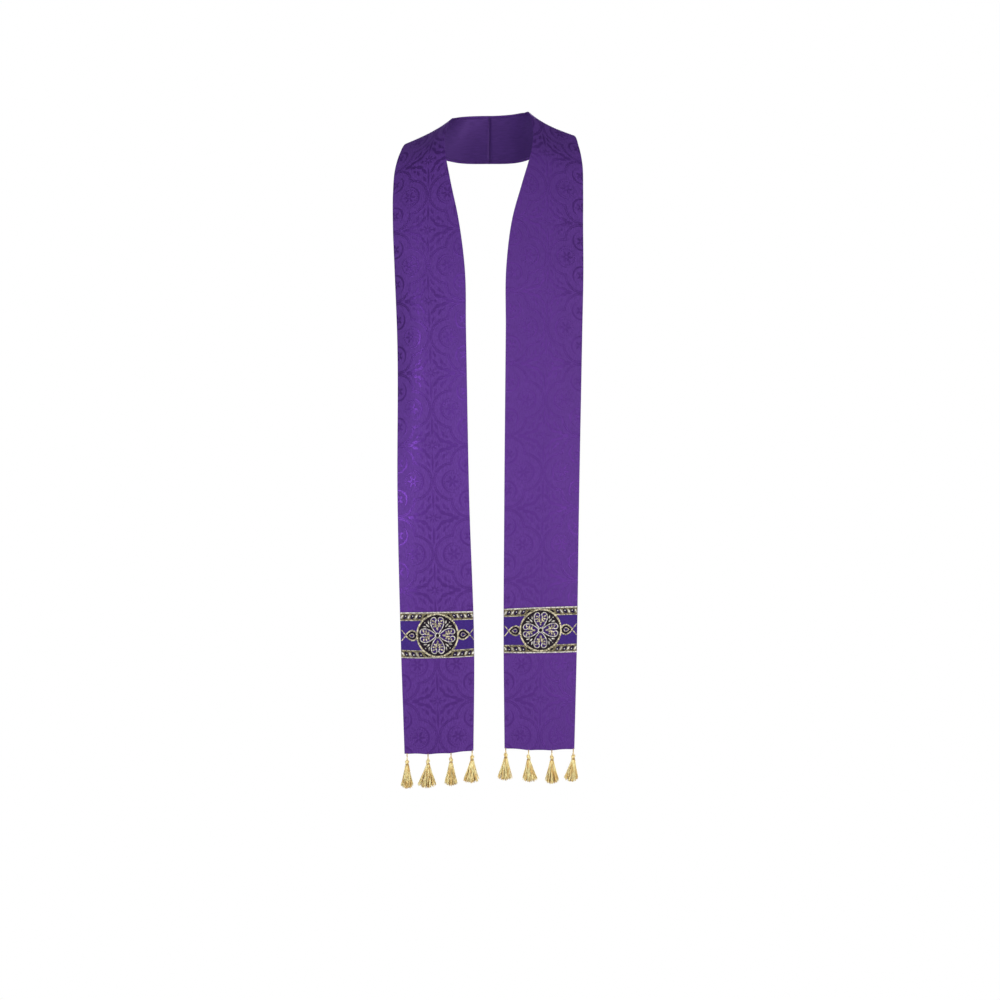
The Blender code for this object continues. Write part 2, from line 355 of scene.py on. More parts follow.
def damask_figure(across, along):
    """1 where the figure of the damask shows: rounds in rows, and a star of leaves between them."""
    side, rise = across.apply("ABSOLUTE"), along.apply("PINGPONG", REPEAT / 2)

    def distance(spot):
        return ((side - spot.out).squared() + (rise - spot.up).squared()).apply("SQRT")

    def angle(spot):
        return (rise - spot.up).apply("ARCTAN2", side - spot.out)

    def outside(first, second):
        return (distance(first) - first.radius).apply("MINIMUM", distance(second) - second.radius)

    def rosette(spot):
        away, wave = distance(spot), (angle(spot) * spot.petals).apply("COSINE")
        reach = wave * (PETAL_WAVE * spot.radius) + PETAL_REACH * spot.radius
        return (away - reach).fade(0.5, -0.5) * away.fade(spot.heart, spot.heart + 1.0)

    def leaf(out, up, degrees, length, width):
        cosine, sine = math.cos(math.radians(degrees)), math.sin(math.radians(degrees))
        run = (side - out) * cosine + (rise - up) * sine
        over = (rise - up) * cosine - (side - out) * sine
        edge = ((run * (1 / length)).squared() - 1.0) * width
        return (over.apply("ABSOLUTE") + edge).fade(0.45, -0.45)

    beyond = outside(BIG_ROUND, SMALL_ROUND)
    figure = beyond.fade(0.7, -0.3) * outside(BIG_CUT, SMALL_CUT).fade(-0.9, 0.1)
    rungs = ((side - rise) * 1.5).apply("SINE").fade(0.2, 0.6)
    beads = (angle(BIG_ROUND) * BEADS).apply("COSINE").fade(-0.3, 0.3)
    parts = [beyond.near(line, 1.1, 0.5) for line in LINES_OUTSIDE]
    parts.append(rungs * beyond.near(sum(LINES_OUTSIDE) / 2, 1.5, 1.1))
    parts.append(beads * distance(BIG_ROUND).near(BEAD_RING, 1.5, 1.0))
    parts += [rosette(spot) for spot in ROSETTES]
    parts += [leaf(*place) for place in STAR_LEAVES]
    for part in parts:
        figure = figure.apply("MAXIMUM", part)
    return figure


def make_damask():
    """Figure and ground differ in their shine, their weave and a little in their colour."""
    finish = Finish("purple_damask", (0.095, 0.030, 0.235), 0.5, 0.35, 0.3)
    across, along = finish.on_cloth()
    figure = damask_figure(across, along)
    slub = finish.noise(420.0, (1.0, 0.35, 1.0), 3.0)
    cloud = finish.noise(9.0)
    ground = finish.mix(slub.fade(0.25, 0.75), (0.083, 0.026, 0.206), (0.112, 0.038, 0.268))
    woven = finish.mix(figure, ground, (0.092, 0.029, 0.225))
    finish.set("Base Color", finish.mix(cloud.fade(0.3, 0.7) * 0.12, woven, (0.070, 0.024, 0.185)))
    finish.set("Roughness", figure * -0.13 + 0.50 + slub * 0.05)
    finish.set("Metallic", figure * 0.54 + 0.22)
    finish.set("Specular Tint", (0.62, 0.42, 0.95))
    finish.set("Sheen Weight", 0.05)
    finish.set("Sheen Tint", (0.55, 0.35, 0.85))
    warp, weft = across.waves(0.9) * 0.14, along.waves(0.9) * 0.07
    relief = figure * (weft + 0.6) + (figure * -1.0 + 1.0) * warp + slub * 0.25
    finish.bump(relief, 0.00032)
    return finish.material


def finish_mesh(name, work, materials):
    mesh = bpy.data.meshes.new(name)
    work.to_mesh(mesh)
    work.free()
    for material in materials:
        mesh.materials.append(material)
    mesh.shade_smooth()
    piece = bpy.data.objects.new(name, mesh)
    bpy.context.scene.collection.objects.link(piece)
    return piece


def add_wall(piece, thickness, even=False):
    """Give a sheet its thickness behind its face, in millimetres."""
    wall = piece.modifiers.new("wall", "SOLIDIFY")
    wall.thickness = thickness * MM
    wall.offset = -1.0
    wall.use_even_offset = even


def round_edge(piece, width, segments):
    fold = piece.modifiers.new("turned edge", "BEVEL")
    fold.width = width * MM
    fold.segments = segments
    fold.limit_method = "ANGLE"
    fold.angle_limit = math.radians(60)


def lay_grid(work, columns, rows, place):
    """A grid of new faces whose vertices go to place(column, row); returns those by vertex."""
    grid = {}
    for vert in bmesh.ops.create_grid(work, x_segments=columns, y_segments=rows, size=0.5)["verts"]:
        grid[vert] = (round((vert.co.x + 0.5) * columns), round((vert.co.y + 0.5) * rows))
        vert.co = place(*grid[vert])
    return grid


def lay_cloth(name, material, band, columns, rows, place, cut_at):
    """A sheet on one band, as a grid; cut_at gives the UV of a column and row, in metres, and is
    also told the first row of the face."""
    work = bmesh.new()
    uv = work.loops.layers.uv.new("cut")
    grid = lay_grid(work, columns, rows, place)
    if band.sign > 0:
        bmesh.ops.reverse_faces(work, faces=work.faces)
    for face in work.faces:
        face_row = min(grid[vert][1] for vert in face.verts)
        for loop in face.loops:
            loop[uv].uv = cut_at(*grid[loop.vert], face_row)
    return finish_mesh(f"{band.side}_{name}", work, [material])


GALLOON_TOP_DROP = {"left": 944, "right": 937}  # mm from the nape down to its inner top corner
GALLOON_HEIGHT = 88  # mm
# At what part of the hem's width each tassel hangs, how far it pulls the hem down, and how far
# that reaches across and up the cloth, in millimetres, before it has faded and where it ends.
TASSELS_AT = {"left": (0.020, 0.325, 0.658, 0.962), "right": (0.018, 0.344, 0.677, 0.984)}
HEM_PULL, PULL_ACROSS, PULL_UP, PULL_END = 1.1, 11.0, 16.0, 90.0


def hem_pull(band, station, across, width):
    """How far the weight of the tassels draws the cloth down just above them, in metres."""
    height = (band.last - station) * band.run(band.last)
    if height > PULL_END:
        return 0.0
    gaps = [(across - at) * width / (PULL_ACROSS * MM) for at in TASSELS_AT[band.side]]
    return HEM_PULL * MM * sum(math.exp(-gap ** 2) for gap in gaps) * math.exp(-height / PULL_UP)


def cut_band(band, material):
    stations = band.stations(DAMASK_ROW_PITCH)
    lengths, widths = band.cut(stations)
    heights = [band.point(station, 0.5).z / MM for station in stations]
    figure = FIGURES[band.side]
    galloon_middle = GALLOON_TOP_DROP[band.side] + GALLOON_HEIGHT / 2

    def length_at(height):
        """Metres down the cloth to where its middle hangs at this height, in front."""
        row = min(range(len(heights) // 2, len(heights)), key=lambda k: abs(heights[k] - height))
        return lengths[row] + (heights[row] - height) * MM

    above, below = length_at(figure.row_above), length_at(figure.row_below)

    def place(column, row):
        across = column / DAMASK_COLUMNS
        spot = band.lifted(stations[row], across, 0.0)
        spot.z -= hem_pull(band, stations[row], across, widths[row])
        return spot

    def cut_at(column, row, face_row):
        start = above if -heights[face_row] < galloon_middle else below
        past_ribs = max(0.0, (stations[row] - band.ribs) / (band.last - band.ribs))
        axis = figure.top_axis + (figure.hem_axis - figure.top_axis) * past_ribs
        return (1 - column / DAMASK_COLUMNS) * widths[row] - axis * MM, start - lengths[row]

    rows = len(stations) - 1
    piece = lay_cloth("damask", material, band, DAMASK_COLUMNS, rows, place, cut_at)
    add_wall(piece, DAMASK_WALL, even=True)
    round_edge(piece, EDGE_ROUNDING, 3)
    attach(piece, "root")
    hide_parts(f"{band.side}_panel")
    return piece


damask = make_damask()
damask_bands = {band.side: cut_band(band, damask) for band in BANDS}

# ------------------------------------------------------------
# The lining. A plain purple satin, cut a little narrower than the damask, lies on the back of
# each half and is felled to the turned edge by hand, with small slanting stitches.
# ------------------------------------------------------------

LINING_WALL = 0.5  # mm
LINING_LIFT = 0.05  # mm between it and the damask
LINING_INSET = 4.0  # mm from the edge of the band
LINING_COLUMNS = 24
LINING_ROW_PITCH = 8.0  # mm
FELLING_PITCH = 6.5  # mm
FELLING_RADIUS = 0.22  # mm
FELLING_REACH = (0.9, -0.7)  # mm, where a stitch starts on the lining and ends on the damask


def make_lining():
    finish = Finish("lining_satin", (0.075, 0.027, 0.190), 0.38, 0.25, 0.35)
    across, along = finish.on_cloth()
    thread = finish.noise(700.0, (1.0, 0.08, 1.0))
    satin = finish.mix(thread.fade(0.3, 0.7), (0.066, 0.024, 0.170), (0.084, 0.031, 0.210))
    finish.set("Base Color", satin)
    finish.set("Specular Tint", (0.70, 0.50, 0.95))
    finish.bump((across + along).waves(0.8) * 0.3 + thread, 0.00008)
    return finish.material


def cut_lining(band, material):
    stations = band.stations(LINING_ROW_PITCH)
    stations[-1] -= LINING_INSET / band.run(band.last)
    lengths, widths = band.cut(stations)

    def across_at(column, row):
        inset = LINING_INSET * MM / widths[row]
        return inset + (1 - 2 * inset) * column / LINING_COLUMNS

    def place(column, row):
        depth = -(DAMASK_WALL + LINING_LIFT) * MM
        return band.lifted(stations[row], across_at(column, row), depth)

    def cut_at(column, row, face_row):
        return across_at(column, row) * widths[row], lengths[row]

    rows = len(stations) - 1
    piece = lay_cloth("lining", material, band, LINING_COLUMNS, rows, place, cut_at)
    add_wall(piece, LINING_WALL)
    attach(piece, "root")


def sew(work, start, end, radius):
    """One stitch of thread, a short rod."""
    run = end - start
    turn = run.to_track_quat("Z", "Y").to_matrix().to_4x4()
    place = Matrix.Translation((start + end) / 2) @ turn
    radii = {"radius1": radius * MM, "radius2": radius * MM}
    bmesh.ops.create_cone(work, cap_ends=True, segments=5, depth=run.length, matrix=place, **radii)


def make_thread(name, colour, specular=0.4):
    finish = Finish(name, colour, 0.5, 0.0, specular)
    fibre = finish.noise(2500.0)
    dark = tuple(channel * 0.7 for channel in colour)
    finish.set("Base Color", finish.mix(fibre.fade(0.3, 0.7), dark, colour))
    finish.bump(fibre, 0.0001)
    return finish.material


def fell_lining(band, material):
    work = bmesh.new()
    stations = band.stations(FELLING_PITCH)
    widths = band.cut(stations)[1]
    depth = -(DAMASK_WALL + LINING_WALL * 0.8) * MM
    for here, after, width in zip(stations[1:], stations[2:], widths[1:]):
        on, off = ((LINING_INSET + reach) * MM / width for reach in FELLING_REACH)
        for edge in (0, 1):
            first = band.lifted(here, abs(edge - on), depth)
            second = band.lifted(here + (after - here) * 0.35, abs(edge - off), depth)
            sew(work, first, second, FELLING_RADIUS)
    piece = finish_mesh(f"{band.side}_felling", work, [material])
    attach(piece, "root")


lining = make_lining()
purple_thread = make_thread("purple_thread", (0.10, 0.040, 0.24))
for band in BANDS:
    cut_lining(band, lining)
    fell_lining(band, purple_thread)

# ------------------------------------------------------------
# The seam at the nape. The two halves are sewn face to face and the seam is pressed open, so a
# narrow fold of satin closes the join between them, with a line of stitches down the inside.
# ------------------------------------------------------------

SEAM_WIDTH, SEAM_DEPTH, SEAM_WALL = 3.0, 0.45, 1.2  # mm; it lies that deep below the damask's face
SEAM_COLUMNS, SEAM_ROWS = 4, 24
SEAM_STITCH, SEAM_STITCH_PITCH, SEAM_STITCH_RADIUS = 2.3, 3.2, 0.24  # mm
SEAM_END = 2.0  # mm at each end without a stitch


def close_nape_seam(band):
    """The fold, as high as the two halves that it lies between."""
    def place(column, row):
        spot = band.lifted(0.0, row / SEAM_ROWS, -SEAM_DEPTH * MM)
        spot.x = SEAM_WIDTH * MM * (column / SEAM_COLUMNS - 0.5)
        return spot

    work = bmesh.new()
    lay_grid(work, SEAM_COLUMNS, SEAM_ROWS, place)
    bmesh.ops.recalc_face_normals(work, faces=work.faces)
    piece = finish_mesh("nape_seam", work, [lining])
    add_wall(piece, SEAM_WALL)
    return piece


def stitch_nape_seam(band):
    work = bmesh.new()
    height = (band.point(0.0, 1.0) - band.point(0.0, 0.0)).length / MM
    depth = -(DAMASK_WALL + LINING_WALL + 0.1) * MM
    for index in range(int((height - 2 * SEAM_END) / SEAM_STITCH_PITCH)):
        low = (SEAM_END + index * SEAM_STITCH_PITCH) / height
        first, second = (band.lifted(0.0, up, depth) for up in (low, low + SEAM_STITCH / height))
        first.x = second.x = 0.0
        sew(work, first, second, SEAM_STITCH_RADIUS)
    return finish_mesh("nape_stitches", work, [purple_thread])


for piece in (close_nape_seam(BANDS[0]), stitch_nape_seam(BANDS[0])):
    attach(piece, "root")

# ------------------------------------------------------------
# The galloons. A ribbon woven in violet silk and gilt thread is laid across each band above the
# hem and sewn down along both its edges. It carries a ring with four petals between two eyes.
# ------------------------------------------------------------

GALLOON_WALL = 0.9  # mm
GALLOON_END_INSET = 0.6  # mm from the edge of the band
GALLOON_COLUMNS, GALLOON_ROWS = 48, 30
BORDER_HEIGHT = 16.4  # mm of each border, above and below the field
BORDER_EDGE = GALLOON_HEIGHT / 2 - BORDER_HEIGHT
BORDER_MIDDLE = (GALLOON_HEIGHT - BORDER_HEIGHT) / 2
OUTER_LINE, INNER_LINE = (6.8, 2.4), (-7.3, 1.6)  # mm out from the middle of a border, and width
RING_RADIUS, RING_WIDTH = 39.5, 3.5  # mm, to the middle of the ring
HEART_RADIUS, HEART_WIDTH = 4.3, 2.4
SOFT = 0.3  # mm, half the blur where two colours of silk meet
# The violet in a petal is an oval, its middle out from the ring's and beside the line, and half
# its length and width, in millimetres; below it narrows to the heart.
LOBE_OUT, LOBE_UP, LOBE_LENGTH, LOBE_WIDTH = 25.0, 6.4, 8.4, 7.2
# How far the upper and the lower edge of each ribbon sag, in mm, at the inner end, the middle and
# the outer end, and how far the figure lies from the middle of the ribbon, as it was cut.
RIBBON_SAG = {"left": ((-0.4, 0.0, 0.0), (-1.2, 1.4, -1.8)), "right": ((2.3, 0.5, 0.0), (0.0, 1.2, 0.7))}
FIGURE_OFFSET = {"left": -1.0, "right": 0.0}


class Galloon:
    """One ribbon and the mesh being worked on it, in millimetres across from its middle and up."""

    def __init__(self, band):
        drop = GALLOON_TOP_DROP[band.side]
        self.band = band
        self.top, self.bottom = band.station_at(drop), band.station_at(drop + GALLOON_HEIGHT)
        self.width = (band.point(self.top, 1.0) - band.point(self.top, 0.0)).length / MM
        self.half = self.width / 2 - GALLOON_END_INSET
        self.offset = FIGURE_OFFSET[band.side]
        self.work = None

    def spot(self, across, up, height):
        """height is in millimetres over the face of the ribbon."""
        low, out = 0.5 - up / GALLOON_HEIGHT, across / self.half
        above, below = (
            middle + (outer - inner) / 2 * out + ((outer + inner) / 2 - middle) * out ** 2
            for inner, middle, outer in RIBBON_SAG[self.band.side]
        )
        sag = (above + (below - above) * low) / GALLOON_HEIGHT
        station = self.top + (self.bottom - self.top) * (low + sag)
        part = min(max(0.5 + across / self.width, 0.0), 1.0)
        return self.band.lifted(station, part, (SEAM_GAP + GALLOON_WALL + height) * MM)

    def woven(self, across, up, height):
        """A spot counted from the middle of the figure and kept on the ribbon."""
        return self.spot(min(max(across + self.offset, -self.half), self.half), up, height)

    def braid(self, path, width, rise):
        """A flat braid with a low crown along path, a ring when the path ends where it starts."""
        closed = (path[0] - path[-1]).length < 0.01
        last = len(path) - 1
        crown = ((-0.5, 0.0), (-0.26, 1.0), (0.26, 1.0), (0.5, 0.0))

        def place(column, row):
            ahead = path[1] if closed and row == last else path[min(row + 1, last)]
            behind = path[-2] if closed and row == 0 else path[max(row - 1, 0)]
            over = (ahead - behind).normalized().orthogonal()
            side, height = crown[column % len(crown)]
            return self.woven(*(path[row] + over * side * width), height * rise)

        grid = lay_grid(self.work, len(crown), last, place)
        bmesh.ops.remove_doubles(self.work, verts=list(grid), dist=0.00001)

    def blank(self, sides, top, shape, rise):
        """A flat cone pressed to a shape: where a point of its unit circle goes, and how high."""
        cone = {"segments": sides, "radius1": 1.0, "radius2": top, "depth": 1.0}
        for vert in bmesh.ops.create_cone(self.work, cap_ends=True, **cone)["verts"]:
            vert.co = self.woven(*shape(*vert.co.xy), (vert.co.z + 0.5) * rise)

    def leaf(self, middle, length, width, degrees, rise, sides=12, pinch=0.6):
        """A small leaf of thread, highest along its middle and drawn to a point at its end."""
        turn = Matrix.Rotation(math.radians(degrees), 2)

        def shape(run, over):
            over *= 1 - pinch * max(0.0, run) ** 2
            return Vector(middle) + turn @ Vector((run * length / 2, over * width / 2))

        self.blank(sides, 0.6, shape, rise)

    def leaves(self, leaves, degrees, rise=0.42):
        """Leaves on both sides of a line out from the middle of the ring."""
        for leaf in leaves:
            for flip in (1, -1) if leaf.beside else (1,):
                middle = turned([(leaf.along, leaf.beside)], degrees, flip)[0]
                self.leaf(middle, leaf.length, leaf.width, degrees + flip * leaf.degrees, rise)

    def mark(self, side, up, at):
        """A dark leaning block in a border, its corners rounded."""
        def shape(over, rise):
            over, rise = (math.copysign(abs(part) ** 0.6, part) for part in (over, rise))
            lean = side * (over * MARK_WIDTH - rise * MARK_LEAN) / 2
            return side * at + lean, up * (MARK_LEVEL + rise * MARK_HEIGHT / 2)

        self.blank(16, 0.8, shape, 0.16)

    def border_line(self, out, width):
        """A line along each border, up to the ring from either end of the ribbon."""
        for up, side in product((1, -1), (1, -1)):
            level = up * (BORDER_MIDDLE + out)
            gap = math.sqrt(max(0.0, RING_RADIUS ** 2 - level ** 2))
            start, end = Vector((side * gap, level)), Vector((side * (self.half + 1.0), level))
            self.braid([start.lerp(end, k / 24) for k in range(25)], width, 0.34)


def make_ribbon_silk():
    """Violet field, dull gold borders, black-violet inside the ring and violet in its petals."""
    finish = Finish("galloon_silk", (0.032, 0.015, 0.120), 0.5, 0.1, 0.15)
    across, along = finish.on_cloth()
    thread = finish.noise(900.0, (0.25, 1.0, 1.0), 3.0)
    weave = thread.fade(0.3, 0.7)
    # The gold borders are mixed by noise between near-black and gold: the dark weave, and painted glints
    # standing in for their glitter.
    painted_glitter = finish.noise(420.0).fade(0.42, 0.60) * 0.7 + weave * 0.3
    field = finish.mix(weave, (0.034, 0.012, 0.150), (0.054, 0.021, 0.220))
    gold = finish.mix(painted_glitter, (0.028, 0.021, 0.012), (0.330, 0.285, 0.175))
    petal = finish.mix(weave, (0.030, 0.011, 0.100), (0.050, 0.020, 0.165))
    side, height = across.apply("ABSOLUTE"), along.apply("ABSOLUTE")
    border = height.fade(BORDER_EDGE - SOFT, BORDER_EDGE + SOFT)
    away = (side.squared() + height.squared()).apply("SQRT")
    in_ring = away.fade(RING_RADIUS + SOFT, RING_RADIUS - SOFT)
    run, beside = side.apply("MAXIMUM", height), side.apply("MINIMUM", height)
    lobe = ((run - LOBE_OUT) * (1 / LOBE_LENGTH)).squared()
    lobe += ((beside - LOBE_UP) * (1 / LOBE_WIDTH)).squared()
    taper = (beside - run * 0.70 + 0.4).fade(0.4, -0.4) * run.fade(22.0, 21.0)
    inside = finish.mix(lobe.fade(1.1, 0.9).apply("MAXIMUM", taper), (0.013, 0.007, 0.015), petal)
    finish.set("Base Color", finish.mix(in_ring, finish.mix(border, field, gold), inside))
    finish.set("Metallic", border * (in_ring * -1.0 + 1.0) * 0.5 + 0.1)
    finish.bump(along.waves(1.1) * 0.4 + thread, 0.00015)
    return finish.material


def make_gilt(name, colour, dark_warp_and_shade, metallic, roughness):
    """Gilt thread laid in short floats on a dark warp; its colour is mixed grain by grain between gilt
    and near-black, partly that warp and partly painted glints and painted shade for its glitter.
    """
    finish = Finish(name, colour, roughness, metallic)
    grain, patch = finish.noise(700.0, (1.0, 1.0, 1.6)), finish.noise(300.0)
    shade = grain.fade(0.40, 0.60) * 0.4 + patch.fade(0.43, 0.57) * 0.6
    finish.set("Base Color", finish.mix(shade, dark_warp_and_shade, colour))
    finish.set("Roughness", grain * 0.25 + (roughness - 0.1))
    finish.bump(grain, 0.0004)
    return finish.material


def weave_ribbon(galloon, material):
    def from_middle(column, row):
        across = (column / GALLOON_COLUMNS - 0.5) * 2 * galloon.half
        return across, (0.5 - row / GALLOON_ROWS) * GALLOON_HEIGHT

    def place(column, row):
        return galloon.spot(*from_middle(column, row), 0.0)

    def cut_at(column, row, face_row):
        across, up = from_middle(column, row)
        return (across - galloon.offset) * MM, up * MM

    size = (GALLOON_COLUMNS, GALLOON_ROWS)
    piece = lay_cloth("ribbon", material, galloon.band, *size, place, cut_at)
    add_wall(piece, GALLOON_WALL)
    round_edge(piece, 0.3, 2)
    return piece


# The outline of half a petal, from its notch to its root, and the leaves that fill it, on a line
# out from the middle of the ring: millimetres along and beside that line, size and slant.
HALF_PETAL = (
    (24.6, 4.4), (27.0, 2.5), (30.4, 2.2), (33.4, 5.0), (32.6, 9.4), (28.6, 12.2), (22.6, 12.6),
    (16.0, 10.6), (10.0, 7.2), (4.8, 3.2),
)
PETAL_LINE = 1.9
Leaf = namedtuple("Leaf", "along beside length width degrees")
PETAL_LEAVES = (
    Leaf(12.6, 0.0, 7.4, 4.2, 180), Leaf(20.4, 2.8, 11.6, 4.2, 6), Leaf(17.2, 5.6, 6.2, 3.2, 128),
    Leaf(21.8, 7.4, 7.0, 3.4, 104), Leaf(27.0, 8.2, 6.6, 3.2, 68),
)
SPRIG_LEAVES = (
    Leaf(26.4, 0.0, 9.0, 3.0, 0), Leaf(29.2, 5.6, 7.6, 2.8, 34), Leaf(33.8, 0.0, 2.6, 2.0, 0),
)
# Eyes and what lies in them: the middle and the point of the drop, radius and width of its line.
EYE, EYE_RIM, EYE_DROP = (48.9, 61.4, 9.2, 2.9), (49.1, 58.4, 6.3, 3.2), (49.3, 55.0, 3.4, 1.6)
EYE_DOT = (49.5, 0.0)
SCROLL, SCROLL_WIDTH = ((60.6, -0.6), (63.4, 2.2), (66.6, 6.2), (70.2, 10.6)), 2.0
# On each side of the ring a border has a dark wedge and three dark leaning marks, with a pale
# dot on each mark and a slash after it. Millimetres, and degrees.
MARKS = tuple(product((1, -1), (1, -1), (33.5, 47.5, 61.5)))  # side, up or down, from the ring's middle
MARK_LEVEL = BORDER_MIDDLE - 0.3
MARK_WIDTH, MARK_HEIGHT, MARK_LEAN, MARK_SLANT = 7.4, 9.0, 3.6, 58
SLASH_AFTER, DOT_BEFORE, DOT_ABOVE = 6.8, 0.6, 1.0
WEDGE_AT, WEDGE_SLANT = (22.6, 36.2), 32
RIBBON_STITCHES, RIBBON_STITCH, RIBBON_STITCH_INSET = 40, 2.5, 0.6  # in a row; mm long, mm from its ends


def smooth_path(points, steps=5):
    """A smooth curve through the points."""
    path = []
    spots = [Vector(point) for point in points]
    spots = [2 * spots[0] - spots[1], *spots, 2 * spots[-1] - spots[-2]]
    for a, b, c, d in zip(spots, spots[1:], spots[2:], spots[3:]):
        for k in range(steps):
            t = k / steps
            square, cube = 2 * a - 5 * b + 4 * c - d, 3 * b - a - 3 * c + d
            path.append(b + (c - a) * t / 2 + square * t * t / 2 + cube * t ** 3 / 2)
    return [*path, spots[-2]]


def turned(points, degrees, flip=1):
    turn = Matrix.Rotation(math.radians(degrees), 2)
    return [turn @ Vector((point[0], flip * point[1])) for point in points]


def ring_path(radius, steps):
    turns = [math.tau * k / steps for k in range(steps + 1)]
    return [Vector((radius * math.cos(turn), radius * math.sin(turn))) for turn in turns]


def eye_path(middle, point, radius, steps=32):
    """A drop, round towards the ring and drawn out to a point away from it."""
    path = []
    for spot in ring_path(radius, steps):
        pull = max(0.0, spot.x / radius) ** 3
        out = middle + spot.x + (point - middle - radius) * pull
        path.append(Vector((out, spot.y * (1 - 0.35 * pull))))
    return path


def lay_gilt_figure(galloon):
    """The duller gilding: inner border lines, eyes, scrolls, the ring and its leaves."""
    galloon.border_line(*INNER_LINE)
    galloon.braid(ring_path(RING_RADIUS, 96), RING_WIDTH, 0.55)
    scroll = [(min(x, galloon.half + 1.0), y) for x, y in smooth_path(SCROLL)]
    for turn in (0, 180):
        for (*drop, width), rise in ((EYE, 0.48), (EYE_DROP, 0.40)):
            galloon.braid(turned(eye_path(*drop), turn), width, rise)
        for flip in (1, -1):
            galloon.braid(turned(scroll, turn, flip), SCROLL_WIDTH, 0.42)
    for degrees in (0, 90, 180, 270):
        galloon.leaves(PETAL_LEAVES, degrees)


def lay_bright_figure(galloon):
    """The brighter gilding: outer border lines, petals, sprigs between them, and slashes."""
    galloon.border_line(*OUTER_LINE)
    galloon.braid(ring_path(HEART_RADIUS, 28), HEART_WIDTH, 0.5)
    half = smooth_path(HALF_PETAL)
    for degrees in (0, 90, 180, 270):
        galloon.leaves(SPRIG_LEAVES, degrees + 45)
        for flip in (1, -1):
            galloon.braid(turned(half, degrees, flip), PETAL_LINE, 0.5)
    for side, up, at in MARKS:
        slant = up * (90 + side * (90 - MARK_SLANT))  # mirrored sideways and up and down
        galloon.leaf((side * (at + SLASH_AFTER), up * MARK_LEVEL), 9.6, 3.6, slant, 0.36)


def lay_dark_figure(galloon):
    """Dark silk: a wedge in each border beside the ring, the heart, and the rims of the eyes."""
    *rim, rim_width = EYE_RIM
    for side in (1, -1):
        for up in (1, -1):
            wedge = (side * WEDGE_AT[0], up * WEDGE_AT[1])
            galloon.leaf(wedge, 9.4, 3.8, -WEDGE_SLANT * side * up, 0.16)
        galloon.braid(turned(eye_path(*rim), 0 if side > 0 else 180), rim_width, 0.2)
        galloon.leaf((side * EYE_DOT[0], EYE_DOT[1]), 2.6, 2.4, 0, 0.44)
    galloon.leaf((0.0, 0.0), 6.4, 6.4, 0, 0.3, 20, 0.0)


def lay_violet_marks(galloon):
    for place in MARKS:
        galloon.mark(*place)


def lay_pale_dots(galloon):
    for side, up, at in MARKS:
        middle = (side * (at - DOT_BEFORE), up * (MARK_LEVEL + DOT_ABOVE))
        galloon.leaf(middle, 2.8, 2.4, 90, 0.34, 10, 0.0)


def lay_ribbon_stitches(galloon):
    """A row of stitches along the top and the bottom of the ribbon."""
    half = galloon.half - RIBBON_STITCH_INSET
    for up in (1, -1):
        level = up * (GALLOON_HEIGHT / 2 - 0.9)
        for k in range(RIBBON_STITCHES):
            start = -half + 2 * half * k / RIBBON_STITCHES
            ends = (galloon.spot(across, level, 0.12) for across in (start, start + RIBBON_STITCH))
            sew(galloon.work, *ends, 0.2)


silk = make_ribbon_silk()
gilt = make_gilt("gilt_thread", (0.90, 0.81, 0.58), (0.075, 0.060, 0.032), 0.55, 0.40)
bright_gilt = make_gilt("bright_gilt_thread", (0.97, 0.93, 0.88), (0.27, 0.24, 0.21), 0.50, 0.38)
night_silk = make_thread("night_silk", (0.012, 0.007, 0.013), 0.12)
plum_silk = make_thread("plum_silk", (0.014, 0.006, 0.042), 0.12)
pale_silk = make_thread("pale_silk", (0.92, 0.86, 0.90))
for band in BANDS:
    galloon = Galloon(band)
    ribbon = weave_ribbon(galloon, silk)
    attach(ribbon, "root")
    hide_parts(f"{band.side}_galloon")
    for name, lay, material in (
        ("gilt_figure", lay_gilt_figure, gilt),
        ("bright_figure", lay_bright_figure, bright_gilt),
        ("dark_figure", lay_dark_figure, night_silk),
        ("violet_marks", lay_violet_marks, plum_silk),
        ("pale_dots", lay_pale_dots, pale_silk),
        ("ribbon_stitches", lay_ribbon_stitches, purple_thread),
    ):
        galloon.work = bmesh.new()
        lay(galloon)
        bmesh.ops.recalc_face_normals(galloon.work, faces=galloon.work.faces)
        figure = finish_mesh(f"{band.side}_{name}", galloon.work, [material])
        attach(figure, "root")

# ------------------------------------------------------------
# The tassels. Four of gold rayon hang from each hem: a twisted cord that parts into a loop, a
# head wound round with thread, and a skirt of loose plied strands that spreads as it falls.
# ------------------------------------------------------------

# Millimetres of cord below the hem, across the skirt, and down to its foot; how far the foot
# swings out, and how much the winding of the head slants.
Tassel = namedtuple("Tassel", "cord width length swing slant")
TASSELS = {
    "left": (
        Tassel(9.4, 32.0, 62.7, -2.0, 0.9), Tassel(9.2, 26.5, 64.1, 0.0, -1.0),
        Tassel(10.6, 37.5, 65.6, -2.0, 1.3), Tassel(12.8, 25.0, 67.9, 0.0, 0.3),
    ),
    "right": (
        Tassel(9.4, 30.0, 62.3, -1.5, -0.4), Tassel(10.2, 30.0, 62.0, 2.5, -1.3),
        Tassel(10.7, 28.0, 65.2, 0.0, -1.1), Tassel(11.1, 28.5, 63.5, -4.3, 1.0),
    ),
}
PANEL_WALL = 2.0  # mm, damask and lining together
CORD_IN_HEM, CORD_IN_HEAD = 1.6, 0.8  # mm hidden at its ends
CORD_STEPS, SHADED_CORD_STEPS = 24, 13  # points down a ply, and those of its upper part, drawn in the darker rayon as painted shade
CORD_TWISTS, PLY_OFFSET, PLY_RADIUS = 2.6, 0.48, 0.75
LOOP_START, LOOP_REACH = 0.55, 1.7  # part of the cord, and mm to either side
WINDING_HEIGHT, WAIST_HEIGHT = 7.6, 2.6  # mm, below the cord
KNOB_RADIUS, SKIRT_TOP_RADIUS = 4.1, 4.0
